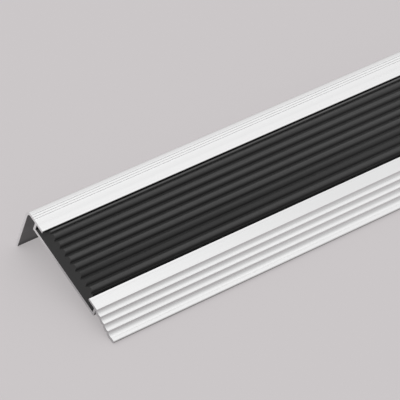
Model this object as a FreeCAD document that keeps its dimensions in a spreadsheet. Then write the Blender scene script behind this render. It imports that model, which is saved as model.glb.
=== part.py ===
"""Stair nosing: an extruded aluminium profile with a black ribbed insert in its channel.

Frame: X runs along the length, +Z is up and -Y is the ramp side.  The part lies unheld on a
level floor, on the inner bottom edge of its leg and on the round under its nose, so the section
is tilted.  The origin is on the floor, at the middle of the length and of the depth.

Section terms: "across" is measured from the outer face of the leg towards the nose, and "up"
from the plane of the two bright flats, so everything below that plane is negative.
"""
import FreeCAD, Part
import math
import os
import re

import Sketcher
from FreeCAD import Placement, Rotation, Vector

SHEET = "Sizes"

# Driving dimensions in millimetres, and counts
SIZES = {
    # Stock
    "stock_length": 1000.0,
    # Leg that hangs down the riser, and the outer round of its corner
    "leg_height": 25.7,
    "leg_thickness": 1.25,
    "leg_edge_round": 0.3,
    "corner_round": 3.1,
    # Far flat, with fine grip grooves beside the corner
    "plate_thickness": 1.15,
    "far_flat_depth": 11.6,
    "groove_inset": 0.25,
    "groove_pitch": 1.03,
    "groove_width": 0.3,
    "groove_depth": 0.15,
    "groove_count": 3,
    # Channel that holds the insert
    "mouth_width": 33.95,
    "lip_overhang": 4.1,
    "lip_round": 0.3,
    "channel_height": 2.85,
    "channel_floor": 1.5,
    "channel_round": 0.5,
    "far_wall": 1.2,
    "near_wall": 1.1,
    # Near flat, scalloped ramp and nose
    "near_flat_depth": 5.75,
    "ramp_drop": 3.45,
    "ramp_thickness": 1.55,
    "cove_pitch": 3.13,
    "cove_sagitta": 0.65,
    "back_sagitta": 0.85,
    "cove_count": 4,
    "nose_land": 1.65,
    "nose_top_round": 0.5,
    "nose_under_round": 0.98,
    # Insert
    "tongue_side_gap": 0.8,
    "tongue_top_gap": 0.15,
    "tongue_round": 0.8,
    "mouth_gap": 0.6,
    "rib_base_drop": 1.2,
    "rib_height": 1.15,
    "rib_gap": 0.54,
    "rib_count": 8,
    "bead_width": 1.0,
    "far_bead_height": 0.95,
    "near_bead_height": 0.45,
    "end_slant": 2.3,
}

# Levels of the section
UNDER_LIPS = "(-plate_thickness)"
FLOOR_TOP = "(-plate_thickness - channel_height)"
UNDERSIDE = "(-plate_thickness - channel_height - channel_floor)"
NOSE_TOP = "(-ramp_drop)"
TONGUE_TOP = "(-plate_thickness - tongue_top_gap)"
RIB_BASE = "(-rib_base_drop)"

# Places across the section
FIRST_GROOVE = "(corner_round + groove_inset)"
MOUTH_FAR = "far_flat_depth"
MOUTH_NEAR = "(far_flat_depth + mouth_width)"
CHANNEL_FAR = "(far_flat_depth - lip_overhang)"
CHANNEL_NEAR = "(far_flat_depth + mouth_width + lip_overhang)"
RAMP_START = "(far_flat_depth + mouth_width + near_flat_depth)"

# Ramp, from the end of the near flat down to the level land on top of the nose
RAMP_LENGTH = "(cove_pitch * cove_count)"
RAMP_RUN = f"sqrt({RAMP_LENGTH}^2 - ramp_drop^2)"
RAMP_COS = f"({RAMP_RUN} / {RAMP_LENGTH})"
RAMP_SIN = f"(ramp_drop / {RAMP_LENGTH})"
LAND_START = f"({RAMP_START} + {RAMP_RUN})"
NOSE_FRONT = f"({LAND_START} + nose_land)"
RAMP_UPRIGHT_THICKNESS = f"(ramp_thickness / {RAMP_COS})"
NOSE_THICKNESS = f"({RAMP_UPRIGHT_THICKNESS} + nose_land * {RAMP_SIN} / {RAMP_COS})"
NOSE_UNDER = f"({NOSE_TOP} - {NOSE_THICKNESS})"

# Centres of the rounds at the nose's front, one tangent to the land and one to the underside
TOP_ROUND_UP = f"({NOSE_TOP} - nose_top_round)"
UNDER_ROUND_UP = f"({NOSE_UNDER} + nose_under_round * (1 + {RAMP_SIN}) / {RAMP_COS})"

# The ribs fill the mouth from bead to bead
RIB_PITCH = "((mouth_width - 2 * mouth_gap - 2 * bead_width) / rib_count)"
RIB_WIDTH = f"({RIB_PITCH} - rib_gap)"

# Each cove is an arc between two crests
COVE_RADIUS = "((cove_pitch / 2)^2 / (2 * cove_sagitta) + cove_sagitta / 2)"
COVE_LIFT = f"({COVE_RADIUS} - cove_sagitta)"


def make_sheet(document):
    """Spreadsheet of the driving dimensions, one alias to each."""
    sheet = document.addObject("Spreadsheet::Sheet", SHEET)
    for row, (alias, size) in enumerate(SIZES.items(), start=1):
        sheet.set(f"A{row}", alias)
        sheet.set(f"B{row}", str(size))
        sheet.setAlias(f"B{row}", alias)
    document.recompute()
    return sheet


def in_sheet(formula):
    """The formula with every size name, which is words joined by _, read from the sheet."""
    return re.sub(r"\b[a-z]+(_[a-z]+)+\b", rf"{SHEET}.\g<0>", formula)


def worked_out(owner, formula):
    """What the formula comes to now."""
    return float(owner.evalExpression(in_sheet(formula)))


def bind(owner, path, formula):
    """Ties one property or constraint of the owner to the sheet."""
    owner.setExpression(path, in_sheet(formula))


def new_body(document, label):
    """Empty body whose label names its file."""
    body = document.addObject("PartDesign::Body", label)
    body.Label = label
    return body


def sketch_on(body, name, role):
    """Sketch on the base plane with that role."""
    sketch = body.newObject("Sketcher::SketchObject", name)
    plane = next(item for item in body.Origin.OriginFeatures if item.Role == role)
    sketch.AttachmentSupport = [(plane, "")]
    sketch.MapMode = "FlatFace"
    return sketch


def section_sketch(body, name):
    """Sketch across the length: its x is the section's across and its y is up."""
    return sketch_on(body, name, "YZ_Plane")


def constrain(sketch, kind, geometry, point, formula):
    """Adds a distance from the sketch's origin, or a radius, that follows the sheet."""
    amount = worked_out(sketch, formula)
    if kind == "Radius":
        rule = Sketcher.Constraint(kind, geometry, amount)
    else:
        rule = Sketcher.Constraint(kind, -1, 1, geometry, point, amount)
    index = sketch.addConstraint(rule)
    bind(sketch, f"Constraints[{index}]", formula)


def hold(sketch, geometry, point, across, up):
    """Holds one point of the sketch at (across, up)."""
    constrain(sketch, "DistanceX", geometry, point, across)
    constrain(sketch, "DistanceY", geometry, point, up)


def draw_outline(sketch, corners):
    """Closed outline of straight sides through the (across, up) corners."""
    points = [Vector(worked_out(sketch, across), worked_out(sketch, up)) for across, up in corners]
    for start, end in zip(points, points[1:] + points[:1]):
        sketch.addGeometry(Part.LineSegment(start, end))
    for side, (across, up) in enumerate(corners):
        before = (side - 1) % len(corners)
        sketch.addConstraint(Sketcher.Constraint("Coincident", before, 2, side, 1))
        hold(sketch, side, 1, across, up)


def draw_box(sketch, far, near, bottom, top):
    """Rectangle between two places across and two levels."""
    draw_outline(sketch, [(far, bottom), (near, bottom), (near, top), (far, top)])


def draw_hump(sketch, start, end, width, height):
    """Round hump: a straight base from start to end, and an arc on the left of that way."""
    radius = f"({width}^2 / (8 * {height}) + {height} / 2)"
    reach = worked_out(sketch, radius)
    first = Vector(worked_out(sketch, start[0]), worked_out(sketch, start[1]))
    last = Vector(worked_out(sketch, end[0]), worked_out(sketch, end[1]))
    along = (last - first).normalize()
    left = Vector(-along.y, along.x)
    centre = (first + last) / 2 + left * (worked_out(sketch, height) - reach)
    arc_start = math.atan2(last.y - centre.y, last.x - centre.x)
    arc_end = math.atan2(first.y - centre.y, first.x - centre.x)
    if arc_end < arc_start:
        arc_end += 2 * math.pi
    sketch.addGeometry(Part.LineSegment(first, last))
    circle = Part.Circle(centre, Vector(0, 0, 1), reach)
    sketch.addGeometry(Part.ArcOfCircle(circle, arc_start, arc_end))
    sketch.addConstraint(Sketcher.Constraint("Coincident", 0, 2, 1, 1))
    sketch.addConstraint(Sketcher.Constraint("Coincident", 1, 2, 0, 1))
    hold(sketch, 0, 1, *start)
    hold(sketch, 0, 2, *end)
    constrain(sketch, "Radius", 1, 0, radius)


def draw_circle(sketch, across, up, radius):
    """Full circle about (across, up)."""
    centre = Vector(worked_out(sketch, across), worked_out(sketch, up))
    sketch.addGeometry(Part.Circle(centre, Vector(0, 0, 1), worked_out(sketch, radius)))
    hold(sketch, 0, 3, across, up)
    constrain(sketch, "Radius", 0, 0, radius)


def draw_ramp_axis(sketch):
    """Construction line down the ramp, for patterns to follow."""
    top = Vector(worked_out(sketch, RAMP_START), 0)
    foot = Vector(worked_out(sketch, LAND_START), worked_out(sketch, NOSE_TOP))
    index = sketch.addGeometry(Part.LineSegment(top, foot), True)
    hold(sketch, index, 1, RAMP_START, "0")
    hold(sketch, index, 2, LAND_START, NOSE_TOP)


def off_ramp(along, outward):
    """(across, up) of a point so far down the ramp face and so far out from it."""
    across = f"({RAMP_START} + {along} * {RAMP_COS} + {outward} * {RAMP_SIN})"
    up = f"({outward} * {RAMP_COS} - {along} * {RAMP_SIN})"
    return across, up


def pad_along(body, sketch, name):
    """Extrudes the sketch over the whole stock length."""
    pad = body.newObject("PartDesign::Pad", name)
    pad.Profile = sketch
    bind(pad, "Length", "stock_length")
    body.Tip = pad
    body.Document.recompute()
    return pad


def cut(body, sketch, name, length, reverse):
    """Cuts the sketch to that depth, and checks that it took something away."""
    before = body.Shape.Volume
    pocket = body.newObject("PartDesign::Pocket", name)
    pocket.Profile = sketch
    pocket.Reversed = reverse
    bind(pocket, "Length", length)
    body.Tip = pocket
    body.Document.recompute()
    if body.Shape.Volume >= before:
        raise RuntimeError(f"{name} cuts nothing")
    return pocket


def pocket_along(body, sketch, name):
    """Cuts the sketch over the whole stock length."""
    return cut(body, sketch, name, "stock_length", True)


def trim_end(body, name, end, inward):
    """Cuts one end of the insert on a slant that leaves only its bottom edge at the end."""
    top = f"({RIB_BASE} + 2 * rib_height)"
    reach = f"(end_slant * ({top} - {FLOOR_TOP}) / ({RIB_BASE} - {FLOOR_TOP}))"
    side = sketch_on(body, name, "XZ_Plane")
    draw_outline(side, [(end, FLOOR_TOP), (f"({end} {inward} {reach})", top), (end, top)])
    cut(body, side, f"{name}_cut", CHANNEL_NEAR, False)


def repeat(body, feature, name, direction, pitch, count):
    """Copies of the feature at an even pitch along a direction of its sketch."""
    pattern = body.newObject("PartDesign::LinearPattern", name)
    pattern.Originals = [feature]
    pattern.Direction = direction
    bind(pattern, "Length", f"{pitch} * ({count} - 1)")
    bind(pattern, "Occurrences", count)
    body.Tip = pattern
    body.Document.recompute()
    return pattern


def round_edges(body, name, radius, places):
    """Rounds the lengthwise edges that lie at the (across, up) places."""
    near = 1e-4
    base = body.Tip
    spots = [Vector(0, worked_out(body, across), worked_out(body, up)) for across, up in places]
    chosen = []
    for number, edge in enumerate(body.Shape.Edges, start=1):
        ends = [vertex.Point for vertex in edge.Vertexes]
        flat = [Vector(0, end.y, end.z) for end in ends]
        if any(all(spot.distanceToPoint(end) < near for end in flat) for spot in spots):
            chosen.append(f"Edge{number}")
    if len(chosen) != len(places):
        raise RuntimeError(f"{name} finds {len(chosen)} of {len(places)} edges")
    fillet = body.newObject("PartDesign::Fillet", name)
    fillet.Base = (base, chosen)
    bind(fillet, "Radius", radius)
    body.Tip = fillet
    body.Document.recompute()
    return fillet


def rest_placement(sheet):
    """Turns the section ramp side first and lays it on the floor.

    The rounded inner edge of the leg and the round under the nose both touch the floor: the
    tilt is that of the line that touches both circles.
    """
    leg_round = sheet.leg_edge_round
    nose_round = sheet.nose_under_round
    nose_front = worked_out(sheet, NOSE_FRONT)
    leg_across = sheet.leg_thickness - leg_round
    leg_up = leg_round - sheet.leg_height
    run = nose_front - nose_round - leg_across
    rise = worked_out(sheet, UNDER_ROUND_UP) - leg_up
    tilt = math.atan2(rise, run) - math.asin((nose_round - leg_round) / math.hypot(rise, run))

    def backward(across, up):
        return -across * math.cos(tilt) - up * math.sin(tilt)

    lift = leg_round + leg_across * math.sin(tilt) - leg_up * math.cos(tilt)
    back = backward(leg_round, leg_up) + leg_round
    tip_round = sheet.nose_top_round
    front = backward(nose_front - tip_round, worked_out(sheet, TOP_ROUND_UP)) - tip_round
    ramp_side_first = Rotation(Vector(0, 0, 1), 180)
    tilted = Rotation(Vector(1, 0, 0), math.degrees(tilt))
    place = Vector(sheet.stock_length / 2, -(back + front) / 2, lift)
    return Placement(place, tilted.multiply(ramp_side_first))


def make_profile(document):
    """Aluminium extrusion: leg, far flat, channel, near flat and scalloped ramp."""
    body = new_body(document, "aluminium_profile")
    wall_out = f"({CHANNEL_NEAR} + near_wall)"
    channel_out = f"({CHANNEL_FAR} - far_wall)"
    above_ramp_start = f"(({RAMP_START} - {wall_out}) * {RAMP_SIN} / {RAMP_COS})"
    under_at_wall = f"({above_ramp_start} - {RAMP_UPRIGHT_THICKNESS})"

    section = section_sketch(body, "section")
    draw_outline(section, [
        ("0", "0"),
        ("0", "-leg_height"),
        ("leg_thickness", "-leg_height"),
        ("leg_thickness", UNDER_LIPS),
        (channel_out, UNDER_LIPS),
        (channel_out, UNDERSIDE),
        (wall_out, UNDERSIDE),
        (wall_out, under_at_wall),
        (NOSE_FRONT, NOSE_UNDER),
        (NOSE_FRONT, NOSE_TOP),
        (LAND_START, NOSE_TOP),
        (RAMP_START, "0"),
        (MOUTH_NEAR, "0"),
        (MOUTH_NEAR, UNDER_LIPS),
        (CHANNEL_NEAR, UNDER_LIPS),
        (CHANNEL_NEAR, FLOOR_TOP),
        (CHANNEL_FAR, FLOOR_TOP),
        (CHANNEL_FAR, UNDER_LIPS),
        (MOUTH_FAR, UNDER_LIPS),
        (MOUTH_FAR, "0"),
    ])
    pad_along(body, section, "extrusion")

    round_edges(body, "corner_outside", "corner_round", [("0", "0")])
    round_edges(body, "corner_inside", "corner_round - leg_thickness", [("leg_thickness", UNDER_LIPS)])
    round_edges(body, "leg_edges", "leg_edge_round", [
        ("0", "-leg_height"),
        ("leg_thickness", "-leg_height"),
    ])
    round_edges(body, "channel_corners", "channel_round", [
        (channel_out, UNDERSIDE),
        (wall_out, UNDERSIDE),
    ])
    round_edges(body, "lips", "lip_round", [(MOUTH_FAR, "0"), (MOUTH_NEAR, "0")])
    round_edges(body, "nose_under", "nose_under_round", [(NOSE_FRONT, NOSE_UNDER)])
    round_edges(body, "nose_tip", "nose_top_round", [(NOSE_FRONT, NOSE_TOP)])

    groove_sketch = section_sketch(body, "grip_groove")
    draw_box(groove_sketch, f"{FIRST_GROOVE} - groove_width / 2",
             f"{FIRST_GROOVE} + groove_width / 2", "-groove_depth", "groove_depth")
    groove = pocket_along(body, groove_sketch, "grip_groove_cut")
    repeat(body, groove, "grip_grooves", (groove_sketch, ["H_Axis"]), "groove_pitch", "groove_count")

    back_sketch = section_sketch(body, "cove_back")
    draw_hump(back_sketch, off_ramp("cove_pitch", "(-ramp_thickness)"),
              off_ramp("0", "(-ramp_thickness)"), "cove_pitch", "back_sagitta")
    draw_ramp_axis(back_sketch)
    back = pad_along(body, back_sketch, "cove_back_pad")
    repeat(body, back, "cove_backs", (back_sketch, ["Axis0"]), "cove_pitch", "cove_count")

    cove_sketch = section_sketch(body, "cove")
    draw_circle(cove_sketch, *off_ramp("cove_pitch / 2", COVE_LIFT), COVE_RADIUS)
    draw_ramp_axis(cove_sketch)
    cove = pocket_along(body, cove_sketch, "cove_cut")
    repeat(body, cove, "coves", (cove_sketch, ["Axis0"]), "cove_pitch", "cove_count")
    return body


def make_insert(document):
    """Black insert: a tongue that slides under both lips, with ribs and edge beads on top."""
    body = new_body(document, "ribbed_insert")
    tongue_far = f"({CHANNEL_FAR} + tongue_side_gap)"
    tongue_near = f"({CHANNEL_NEAR} - tongue_side_gap)"
    raised_far = f"({MOUTH_FAR} + mouth_gap)"
    raised_near = f"({MOUTH_NEAR} - mouth_gap)"

    base_sketch = section_sketch(body, "base_section")
    draw_outline(base_sketch, [
        (tongue_far, FLOOR_TOP),
        (tongue_near, FLOOR_TOP),
        (tongue_near, TONGUE_TOP),
        (raised_near, TONGUE_TOP),
        (raised_near, RIB_BASE),
        (raised_far, RIB_BASE),
        (raised_far, TONGUE_TOP),
        (tongue_far, TONGUE_TOP),
    ])
    pad_along(body, base_sketch, "base")
    round_edges(body, "tongue_edges", "tongue_round", [
        (tongue_far, FLOOR_TOP),
        (tongue_far, TONGUE_TOP),
        (tongue_near, FLOOR_TOP),
        (tongue_near, TONGUE_TOP),
    ])

    first_rib = f"({raised_far} + bead_width + rib_gap / 2)"
    rib_sketch = section_sketch(body, "rib")
    draw_hump(rib_sketch, (first_rib, RIB_BASE), (f"{first_rib} + {RIB_WIDTH}", RIB_BASE),
              RIB_WIDTH, "rib_height")
    rib = pad_along(body, rib_sketch, "rib_pad")
    repeat(body, rib, "ribs", (rib_sketch, ["H_Axis"]), RIB_PITCH, "rib_count")

    for side, start in (("far", raised_far), ("near", f"({raised_near} - bead_width)")):
        bead_sketch = section_sketch(body, f"{side}_bead")
        draw_hump(bead_sketch, (start, RIB_BASE), (f"{start} + bead_width", RIB_BASE),
                  "bead_width", f"{side}_bead_height")
        pad_along(body, bead_sketch, f"{side}_bead_pad")

    trim_end(body, "first_end", "0", "+")
    trim_end(body, "second_end", "stock_length", "-")
    return body


def check_model(document, bodies):
    """Stops on any failed feature and on any piece that is not one valid solid."""
    for item in document.Objects:
        if "Invalid" in item.State or "Error" in item.State:
            raise RuntimeError(f"{item.Label} failed: {item.State}")
    for body in bodies:
        shape = body.Shape
        if shape.isNull() or not shape.isValid() or len(shape.Solids) != 1:
            raise RuntimeError(f"{body.Label} is not one valid solid")


def main():
    document = FreeCAD.newDocument("stair_nosing")
    sheet = make_sheet(document)
    bodies = [make_profile(document), make_insert(document)]
    for body in bodies:
        body.Placement = rest_placement(sheet)
    document.recompute()
    check_model(document, bodies)
    os.makedirs("parts", exist_ok=True)
    for body in bodies:
        body.Shape.exportStep(f"parts/{body.Label}.step")
        box = body.Shape.BoundBox
        print(f"{body.Label}: volume {body.Shape.Volume:.0f} mm3, "
              f"X {box.XMin:.2f} to {box.XMax:.2f}, Y {box.YMin:.2f} to {box.YMax:.2f}, "
              f"Z {box.ZMin:.3f} to {box.ZMax:.2f}")


main()
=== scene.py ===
"""Look of the stair nosing: satin aluminium extrusion with a matt black ribbed insert."""

import math

import bpy
from mathutils import Matrix, Vector


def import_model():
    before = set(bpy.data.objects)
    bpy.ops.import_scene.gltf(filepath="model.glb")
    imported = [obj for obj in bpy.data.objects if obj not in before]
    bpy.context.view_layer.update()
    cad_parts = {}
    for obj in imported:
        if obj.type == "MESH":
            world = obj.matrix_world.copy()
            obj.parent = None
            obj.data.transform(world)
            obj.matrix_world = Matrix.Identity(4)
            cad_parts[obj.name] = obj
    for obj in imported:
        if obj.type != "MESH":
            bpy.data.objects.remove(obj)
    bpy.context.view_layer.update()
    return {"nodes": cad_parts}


MM = 0.001
LENGTHWISE = (1, 0, 0)
UPWARD = (0, 0, 1)

# Camera in the row frame, from the photograph's long edges and square cut end
CAMERA_PLACE = (-0.954597, -0.649194, 0.738472)
CAMERA_FORWARD = (0.472439, 0.589854, -0.654885)
CAMERA_UP = (0.358868, 0.549912, 0.754195)
CAMERA_LENS = 247.7
CAMERA_CLIP = (0.01, 100.0)
SENSOR_WIDTH = 36.0

# The section lies turned about X: a point on the plane of its flats, its up and its front
SECTION_TILT = math.radians(17.969)
SECTION_PLACE = (0.0, 0.026385, 0.024754)
SECTION_UP = (0.0, -math.sin(SECTION_TILT), math.cos(SECTION_TILT))
SECTION_FRONT = (0.0, -math.cos(SECTION_TILT), -math.sin(SECTION_TILT))

FLATS_HEIGHT = Vector(SECTION_PLACE).dot(SECTION_UP)
LEG_FRONT = Vector(SECTION_PLACE).dot(SECTION_FRONT)

# Floor: lit as any surface, with a share of the even backdrop mixed in where it is seen
FLOOR_SIZE = 40.0
FLOOR_COLOR = (0.622, 0.592, 0.602, 1.0)
FLOOR_ROUGHNESS = 0.9
BACKDROP_COLOR = (0.597, 0.571, 0.577, 1.0)
BACKDROP_SHARE = 0.6

# Soft studio sky: a broad key from behind and above, a fill beside the camera and a weak light low
# at the far side. It rises between the two horizon heights out of the backdrop, which is all round.
KEY_DIRECTION = (0.12, 0.45, 0.85)
KEY_SPREAD = (0.1, 0.97)
KEY_STRENGTH = (0.36, 1.10)
FILL_DIRECTION = (-0.85, -0.40, 0.42)
FILL_SPREAD = (0.2, 0.7)
FILL_STRENGTH = (0.0, 0.9)
SIDE_DIRECTION = (0.8, -0.5, -0.2)
SIDE_SPREAD = (0.58, 0.8)
SIDE_STRENGTH = (0.0, 0.3)
HORIZON_HEIGHT = (0.10, 0.38)
SKY_LIMIT = 1.08
SKY_COLOR = (1.0, 1.0, 1.0, 1.0)

# Noises: cells a metre along the length, the depth and the height, then detail and roughness
FINE_LINES = ((1.5, 3600.0, 3600.0), 3.0, 0.6)
BROAD_LINES = ((0.8, 420.0, 420.0), 2.0, 0.5)
CLOUDS = ((7.0, 70.0, 70.0), 2.0, 0.5)
SAW_MARKS = ((200.0, 300.0, 5200.0), 2.0, 0.6)
GRAIN = ((2600.0, 2600.0, 2600.0), 2.0, 0.6)
STREAKS = ((4.0, 420.0, 420.0), 3.0, 0.6)
THREADS = ((3.0, 1700.0, 1700.0), 2.0, 0.5)

# Spans of a noise's value over which a look changes
LOW_SPAN = (0.2, 0.5)
NARROW_SPAN = (0.35, 0.65)
WIDE_SPAN = (0.3, 0.7)

# How far a face points along the length, where it turns from a long face into a sawn end
END_FACING = (0.4, 0.8)

# Profile: how far a face points down, as the undersides do, or to the front, as the leg's inner
# face does. Both have the mill finish, its colour darkened with painted shade.
UNDER_FACING = (-0.2, -0.5)
LEG_FACING = (0.97, 0.995)

# Profile, from the leg towards the ramp: the corner with painted shade, the grooves with painted
# light, the near flat, and the mouth's two edges and the nose, all three with a painted highlight
SHADED_CORNER = 2.3 * MM
SHADED_CORNER_WIDTH = (0.95 * MM, 0.25 * MM)
GROOVES = (3.35 * MM, 4.38 * MM, 5.41 * MM)
GROOVE_LIGHT_WIDTH = (0.35 * MM, 0.25 * MM)
NEAR_FLAT = 48.4 * MM
NEAR_FLAT_WIDTH = (3.4 * MM, 2.4 * MM)
HIGHLIGHT_EDGES = (11.6 * MM, 45.55 * MM, 65.2 * MM)
EDGE_HIGHLIGHT_WIDTH = (0.9 * MM, 0.3 * MM)
HIGHLIGHT_SHARE = (0.5, 1.0)

# Profile, in the coves: how far a face leans to the front, and still faces up, where it gets
# painted shade
STEEP_FRONT = (0.5, 0.75)
STEEP_UP = (-0.1, 0.25)

# Profile, along its length: away from the cut end the near flat gets more painted shade, and the
# steep faces less
LENGTHWISE_SHADE_START = (-480.0 * MM, -390.0 * MM)
FLAT_SHADING = (0.0, 0.55)
STEEP_SHADING = (1.0, 0.45)

# Profile: the leg's middle, from the plane of the flats, and how far from it the painted shade in
# the leg's corners begins
LEG_MIDDLE = -13.4 * MM
CORNER_SHADE_START = (8.6 * MM, 11.8 * MM)

# Profile, at the sawn ends, from the leg towards the ramp: where painted shade makes the cut darker
CUT_SHADE_START = (9.0 * MM, 30.0 * MM)
CUT_SHADE_SHARE = 0.85
SAW_SHARE = 0.15

# Profile: how rough the drawn faces are, and what is added for clouds, cuts and mill finish
DRAWN_ROUGHNESS = (0.25, 0.33)
CLOUD_ROUGHNESS = 0.04
SAWN_ROUGHNESS = 0.15
MILL_ROUGHNESS = 0.12

# Profile: the draw lines' two noises, and the depth and strength of draw lines and saw marks
FINE_SHARE = 0.6
BROAD_SHARE = 0.4
DRAWN_DEPTH = 0.02 * MM
DRAWN_STRENGTH = 0.35
SAW_DEPTH = 0.03 * MM
SAW_STRENGTH = 0.5

# Insert: how far a face points up, and its height from the plane of the flats, where the surface
# turns from painted shade to worn and lit with a painted highlight
CROWN_FACING = (0.72, 0.98)
WORN_LIT_HEIGHT = (-0.95 * MM, -0.3 * MM)
STREAK_SHARE = (0.65, 1.0)

# Insert, from the leg towards the ramp: the bead beside the far lip with a painted highlight, the
# painted light in the gap after it, the ribs that are trodden least, and the painted shade at the
# near lip
LIT_BEAD = 12.5 * MM
LIT_BEAD_WIDTH = (0.6 * MM, 0.4 * MM)
LIT_GAP = 13.45 * MM
LIT_GAP_WIDTH = (0.5 * MM, 0.2 * MM)
FRESH_RIBS = 36.6 * MM
FRESH_WIDTH = (5.2 * MM, 0.9 * MM)
FRESH_SHARE = (1.0, 0.15)
LIP_SHADE_START = (43.9 * MM, 44.25 * MM)

# Insert, along its length: beyond the cut end the valleys get lighter, with dust and painted light
LIGHTER_VALLEYS_START = (-430.0 * MM, -340.0 * MM)
DUST_AND_LIGHT_SHARE = (0.0, 0.3)

# Insert: how much the grain darkens it, how rough it is, and what the painted shade at the near lip
# adds to that
GRAIN_SHARE = (0.0, 0.25)
RUBBER_ROUGHNESS = (0.52, 0.66)
LIP_SHADE_ROUGHNESS = 0.4
RUBBER_SPECULAR = 0.3
GRAIN_DEPTH = 0.05 * MM
GRAIN_STRENGTH = 0.4

SHOWN_LIGHT = (0.885, 0.885, 0.887, 1.0)
SHOWN_DARK = (0.81, 0.81, 0.812, 1.0)
# Painted highlight along the edges and painted light in the grooves
PAINTED_HIGHLIGHT = (0.95, 0.95, 0.952, 1.0)
# Painted shade on the rounded corner and the near flat
SHADED_METAL = (0.735, 0.735, 0.737, 1.0)
# Painted shade on the coves' steep faces
STEEP_SHADE = (0.64, 0.64, 0.642, 1.0)
# Mill finish of the inside faces, darkened with painted shade
MILL_SHADED_LIGHT = (0.19, 0.188, 0.19, 1.0)
MILL_SHADED_DARK = (0.125, 0.123, 0.125, 1.0)
# Painted shade in the leg's corners
LEG_CORNER_SHADE = (0.06, 0.059, 0.06, 1.0)
SAWN_BRIGHT = (0.93, 0.93, 0.935, 1.0)
# Cut darkened with painted shade towards the ramp and with real saw marks
SAWN_SHADED = (0.56, 0.56, 0.565, 1.0)
# Rib tops: worn, and lighter with a painted highlight
RUBBER_WORN_LIT = (0.072, 0.072, 0.072, 1.0)
# Painted highlight on the bead beside the far lip
RUBBER_BEAD_HIGHLIGHT = (0.15, 0.15, 0.15, 1.0)
# Painted shade in the valleys, also the dark of the grain
RUBBER_SHADE_AND_GRAIN = (0.015, 0.015, 0.015, 1.0)
# Dust and painted light in the gap after the bead and in the valleys away from the cut end
RUBBER_DUST_AND_LIGHT = (0.045, 0.045, 0.045, 1.0)
# Painted shade under the near lip
RUBBER_LIP_SHADE = (0.004, 0.004, 0.004, 1.0)
RUBBER_CUT = (0.027, 0.027, 0.027, 1.0)


class Nodes:
    """Short names for the nodes of one material or world."""

    def __init__(self, tree):
        self.tree = tree

    def add(self, kind, **settings):
        node = self.tree.nodes.new(kind)
        for name, value in settings.items():
            setattr(node, name, value)
        return node

    def put(self, value, socket):
        """Links a node's output to the socket, or sets the socket to a constant."""
        if isinstance(value, bpy.types.NodeSocket):
            self.tree.links.new(value, socket)
        else:
            socket.default_value = value

    def math(self, operation, *values):
        """One operation on two values, or on the results of the ones before."""
        result = values[0]
        for value in values[1:]:
            node = self.add("ShaderNodeMath", operation=operation)
            self.put(result, node.inputs[0])
            self.put(value, node.inputs[1])
            result = node.outputs[0]
        return result

    def size(self, value):
        """The value without its sign."""
        node = self.add("ShaderNodeMath", operation="ABSOLUTE")
        self.put(value, node.inputs[0])
        return node.outputs[0]

    def apart(self, value, place):
        return self.size(self.math("SUBTRACT", value, place))

    def nearest(self, value, places):
        """How far the value is from the nearest of the places."""
        return self.math("MINIMUM", *(self.apart(value, place) for place in places))

    def ramp(self, source, low, lit_top, out_low=0.0, out_high=1.0):
        """Straight change from out_low at low to out_high at high, and level beyond."""
        node = self.add("ShaderNodeMapRange", clamp=True)
        self.put(source, node.inputs["Value"])
        for name, value in (("From Min", low), ("From Max", lit_top),
                            ("To Min", out_low), ("To Max", out_high)):
            self.put(value, node.inputs[name])
        return node.outputs["Result"]

    def towards(self, vector, direction):
        """How far the vector points along the direction."""
        node = self.add("ShaderNodeVectorMath", operation="DOT_PRODUCT")
        self.put(vector, node.inputs[0])
        self.put(Vector(direction).normalized(), node.inputs[1])
        return node.outputs["Value"]

    def mix(self, factor, first, second):
        node = self.add("ShaderNodeMix", data_type="RGBA")
        self.put(factor, node.inputs["Factor"])
        self.put(first, node.inputs["A"])
        self.put(second, node.inputs["B"])
        return node.outputs["Result"]

    def noise(self, vector, cells, detail, roughness):
        """Noise with its own number of cells a metre along each axis."""
        mapping = self.add("ShaderNodeMapping")
        self.put(vector, mapping.inputs["Vector"])
        self.put(Vector(cells), mapping.inputs["Scale"])
        node = self.add("ShaderNodeTexNoise")
        self.put(mapping.outputs["Vector"], node.inputs["Vector"])
        self.put(1.0, node.inputs["Scale"])
        self.put(detail, node.inputs["Detail"])
        self.put(roughness, node.inputs["Roughness"])
        return node.outputs["Fac"]

    def bump(self, height, distance, strength, normal=None):
        node = self.add("ShaderNodeBump")
        self.put(height, node.inputs["Height"])
        self.put(distance, node.inputs["Distance"])
        self.put(strength, node.inputs["Strength"])
        if normal:
            self.put(normal, node.inputs["Normal"])
        return node.outputs["Normal"]


class Surface(Nodes):
    """Nodes of a new material, with its shader and output linked."""

    def __init__(self, name):
        self.material = bpy.data.materials.new(name)
        self.material.use_nodes = True
        self.material.node_tree.nodes.clear()
        super().__init__(self.material.node_tree)
        self.output = self.add("ShaderNodeOutputMaterial")
        self.shader = self.add("ShaderNodeBsdfPrincipled")
        self.put(self.shader.outputs["BSDF"], self.output.inputs["Surface"])

    def set(self, name, value):
        self.put(value, self.shader.inputs[name])


class PartSurface(Surface):
    """Material of the part, with where a point is on it and how its face is turned."""

    def __init__(self, name):
        super().__init__(name)
        self.where = self.add("ShaderNodeTexCoord").outputs["Object"]
        facing = self.add("ShaderNodeNewGeometry").outputs["Normal"]
        self.facing_up = self.towards(facing, SECTION_UP)
        self.facing_front = self.towards(facing, SECTION_FRONT)
        self.sawn = self.ramp(self.size(self.towards(facing, LENGTHWISE)), *END_FACING)
        self.along = self.towards(self.where, LENGTHWISE)
        self.across = self.math("SUBTRACT", self.towards(self.where, SECTION_FRONT), LEG_FRONT)
        self.height = self.math("SUBTRACT", self.towards(self.where, SECTION_UP), FLATS_HEIGHT)

    def band(self, place, width, share=(0.0, 1.0)):
        """Changes from the first share to the second where a point comes near to the place."""
        return self.ramp(self.apart(self.across, place), *width, *share)


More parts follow.
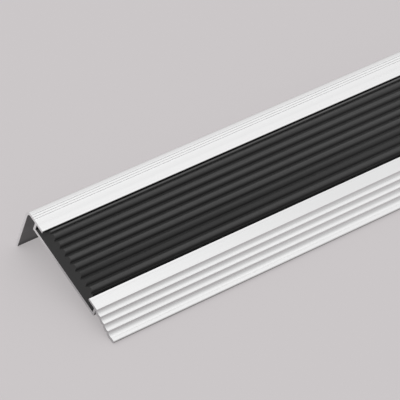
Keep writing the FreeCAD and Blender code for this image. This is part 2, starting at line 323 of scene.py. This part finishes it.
def make_aluminium():
    """Drawn and anodised on show with painted highlights and shade, duller mill finish inside
    darkened with painted shade, and sawn at both ends.
    """
    surface = PartSurface("aluminium")
    ramp, mix, math_of = surface.ramp, surface.mix, surface.math
    sawn, along, across = surface.sawn, surface.along, surface.across
    # Undersides and the leg's inner face: mill finish whose colour carries painted shade
    mill_and_shade = math_of("MAXIMUM", ramp(surface.facing_up, *UNDER_FACING),
                   ramp(surface.facing_front, *LEG_FACING))

    # Draw lines run the whole length, saw marks run across the ends
    fine, broad, clouds, saw = (surface.noise(surface.where, *settings)
                                for settings in (FINE_LINES, BROAD_LINES, CLOUDS, SAW_MARKS))
    lines = math_of("ADD", math_of("MULTIPLY", fine, FINE_SHARE),
                    math_of("MULTIPLY", broad, BROAD_SHARE))

    # Painted highlight along the mouth's edges and the nose, painted light in the grooves
    edge_highlight = ramp(surface.nearest(across, HIGHLIGHT_EDGES), *EDGE_HIGHLIGHT_WIDTH)
    groove_light = ramp(surface.nearest(across, GROOVES), *GROOVE_LIGHT_WIDTH)
    highlight = math_of("MULTIPLY", math_of("MAXIMUM", edge_highlight, groove_light),
                   ramp(broad, *LOW_SPAN, *HIGHLIGHT_SHARE))
    # Painted shade on the near flat, growing away from the cut end
    near_flat_shade = math_of("MULTIPLY", surface.band(NEAR_FLAT, NEAR_FLAT_WIDTH),
                      ramp(along, *LENGTHWISE_SHADE_START, *FLAT_SHADING))
    # Painted shade on the coves' steep faces, less away from the cut end
    steep_shade = math_of("MULTIPLY", ramp(surface.facing_front, *STEEP_FRONT),
                       ramp(surface.facing_up, *STEEP_UP),
                       ramp(along, *LENGTHWISE_SHADE_START, *STEEP_SHADING))
    shown = mix(ramp(lines, *NARROW_SPAN), SHOWN_DARK, SHOWN_LIGHT)
    shown = mix(highlight, shown, PAINTED_HIGHLIGHT)
    # Painted shade on the rounded corner
    shown = mix(surface.band(SHADED_CORNER, SHADED_CORNER_WIDTH), shown, SHADED_METAL)
    shown = mix(near_flat_shade, shown, SHADED_METAL)
    shown = mix(steep_shade, shown, STEEP_SHADE)

    # Painted shade towards the leg's corners, by the plate and at the foot
    leg_corner_shade = ramp(surface.apart(surface.height, LEG_MIDDLE), *CORNER_SHADE_START)
    inside_shaded = mix(leg_corner_shade, mix(ramp(clouds, *WIDE_SPAN), MILL_SHADED_DARK, MILL_SHADED_LIGHT), LEG_CORNER_SHADE)
    # Painted shade darkens the cut towards the ramp, with real saw marks on top
    cut_shade_and_saw = math_of("ADD", math_of("MULTIPLY", ramp(across, *CUT_SHADE_START), CUT_SHADE_SHARE),
                    ramp(saw, *WIDE_SPAN, 0.0, SAW_SHARE))
    cut = mix(cut_shade_and_saw, SAWN_BRIGHT, SAWN_SHADED)
    surface.set("Base Color", mix(sawn, mix(mill_and_shade, shown, inside_shaded), cut))

    surface.set("Roughness", math_of("ADD", ramp(lines, *NARROW_SPAN, *DRAWN_ROUGHNESS),
                                     ramp(clouds, *WIDE_SPAN, 0.0, CLOUD_ROUGHNESS),
                                     math_of("MULTIPLY", sawn, SAWN_ROUGHNESS),
                                     math_of("MULTIPLY", mill_and_shade, MILL_ROUGHNESS)))
    unsawn = math_of("SUBTRACT", DRAWN_STRENGTH, math_of("MULTIPLY", sawn, DRAWN_STRENGTH))
    drawn = surface.bump(lines, DRAWN_DEPTH, unsawn)
    marked = surface.bump(saw, SAW_DEPTH, math_of("MULTIPLY", sawn, SAW_STRENGTH), drawn)
    surface.set("Normal", marked)
    surface.set("Metallic", 1.0)
    return surface.material


def make_insert():
    """Matt rubber: rib tops worn and lighter with a painted highlight, painted shade between them
    with a little dust and painted light.
    """
    surface = PartSurface("insert")
    ramp, mix, math_of = surface.ramp, surface.mix, surface.math
    sawn, along, across = surface.sawn, surface.along, surface.across
    grain, streaks, threads = (surface.noise(surface.where, *settings)
                               for settings in (GRAIN, STREAKS, THREADS))

    # Painted shade under the near lip
    lip_shade = ramp(across, *LIP_SHADE_START)
    # Rib tops lighter, as wear and a painted highlight; the valleys get painted shade
    worn_and_lit = math_of("MULTIPLY", ramp(surface.facing_up, *CROWN_FACING),
                   ramp(surface.height, *WORN_LIT_HEIGHT),
                   ramp(streaks, *NARROW_SPAN, *STREAK_SHARE),
                   ramp(threads, *NARROW_SPAN, *STREAK_SHARE),
                   surface.band(FRESH_RIBS, FRESH_WIDTH, FRESH_SHARE),
                   math_of("SUBTRACT", 1.0, lip_shade))
    # Lighter in the gap after the bead and away from the cut end: dust and painted light
    dust_and_light = math_of("MAXIMUM", surface.band(LIT_GAP, LIT_GAP_WIDTH),
                    ramp(along, *LIGHTER_VALLEYS_START, *DUST_AND_LIGHT_SHARE))
    # Painted highlight on the bead beside the far lip
    lit_top = mix(surface.band(LIT_BEAD, LIT_BEAD_WIDTH), RUBBER_WORN_LIT, RUBBER_BEAD_HIGHLIGHT)
    color = mix(worn_and_lit, mix(dust_and_light, RUBBER_SHADE_AND_GRAIN, RUBBER_DUST_AND_LIGHT), lit_top)
    color = mix(ramp(grain, *NARROW_SPAN, *GRAIN_SHARE), color, RUBBER_SHADE_AND_GRAIN)
    color = mix(lip_shade, color, RUBBER_LIP_SHADE)
    surface.set("Base Color", mix(sawn, color, RUBBER_CUT))

    matt = math_of("MULTIPLY", math_of("SUBTRACT", lip_shade, sawn), LIP_SHADE_ROUGHNESS)
    surface.set("Roughness", math_of("ADD", ramp(grain, *WIDE_SPAN, *RUBBER_ROUGHNESS),
                                     math_of("MAXIMUM", matt, 0.0)))
    surface.set("Specular IOR Level", RUBBER_SPECULAR)
    surface.set("Normal", surface.bump(grain, GRAIN_DEPTH, GRAIN_STRENGTH))
    return surface.material


def make_floor():
    mesh = bpy.data.meshes.new("floor")
    half = FLOOR_SIZE / 2
    corners = [(-half, -half, 0), (half, -half, 0), (half, half, 0), (-half, half, 0)]
    mesh.from_pydata(corners, [], [(0, 1, 2, 3)])
    floor = bpy.data.objects.new("floor", mesh)
    bpy.context.scene.collection.objects.link(floor)
    surface = Surface("floor")
    surface.set("Base Color", FLOOR_COLOR)
    surface.set("Roughness", FLOOR_ROUGHNESS)
    surface.set("Specular IOR Level", 0.0)
    backdrop = surface.add("ShaderNodeEmission")
    surface.put(BACKDROP_COLOR, backdrop.inputs["Color"])
    path = surface.add("ShaderNodeLightPath").outputs
    seen = surface.math("MAXIMUM", path["Is Camera Ray"], path["Is Glossy Ray"],
                        path["Is Transmission Ray"])
    blend = surface.add("ShaderNodeMixShader")
    surface.put(surface.math("MULTIPLY", seen, BACKDROP_SHARE), blend.inputs[0])
    surface.put(surface.shader.outputs["BSDF"], blend.inputs[1])
    surface.put(backdrop.outputs["Emission"], blend.inputs[2])
    surface.put(blend.outputs["Shader"], surface.output.inputs["Surface"])
    mesh.materials.append(surface.material)


def make_world():
    """Bright sky over and behind the part, a fill at one side and the backdrop all round."""
    world = bpy.data.worlds.new("studio")
    world.use_nodes = True
    world.node_tree.nodes.clear()
    nodes = Nodes(world.node_tree)
    output = nodes.add("ShaderNodeOutputWorld")
    background = nodes.add("ShaderNodeBackground")
    nodes.put(background.outputs["Background"], output.inputs["Surface"])
    way = nodes.add("ShaderNodeTexCoord").outputs["Generated"]
    key = nodes.ramp(nodes.towards(way, KEY_DIRECTION), *KEY_SPREAD, *KEY_STRENGTH)
    fill = nodes.ramp(nodes.towards(way, FILL_DIRECTION), *FILL_SPREAD, *FILL_STRENGTH)
    side = nodes.ramp(nodes.towards(way, SIDE_DIRECTION), *SIDE_SPREAD, *SIDE_STRENGTH)
    sky = nodes.math("MINIMUM", nodes.math("ADD", key, fill, side), SKY_LIMIT)
    above = nodes.ramp(nodes.towards(way, UPWARD), *HORIZON_HEIGHT)
    nodes.put(nodes.mix(above, BACKDROP_COLOR, SKY_COLOR), background.inputs["Color"])
    nodes.put(nodes.ramp(above, 0.0, 1.0, 1.0, sky), background.inputs["Strength"])
    bpy.context.scene.world = world


def make_camera():
    data = bpy.data.cameras.new("camera")
    data.lens = CAMERA_LENS
    data.sensor_width = SENSOR_WIDTH
    data.clip_start, data.clip_end = CAMERA_CLIP
    camera = bpy.data.objects.new("camera", data)
    bpy.context.scene.collection.objects.link(camera)
    forward = Vector(CAMERA_FORWARD).normalized()
    right = forward.cross(Vector(CAMERA_UP)).normalized()
    up = right.cross(forward)
    turn = Matrix((right, up, -forward)).transposed().to_4x4()
    camera.matrix_world = Matrix.Translation(CAMERA_PLACE) @ turn
    bpy.context.scene.camera = camera


def main():
    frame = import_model()
    looks = {"aluminium_profile": make_aluminium(), "ribbed_insert": make_insert()}
    for name, material in looks.items():
        node = frame["nodes"][name]
        node.data.materials.clear()
        node.data.materials.append(material)
    make_floor()
    make_world()
    make_camera()
    bpy.context.scene.view_settings.view_transform = "Standard"


main()
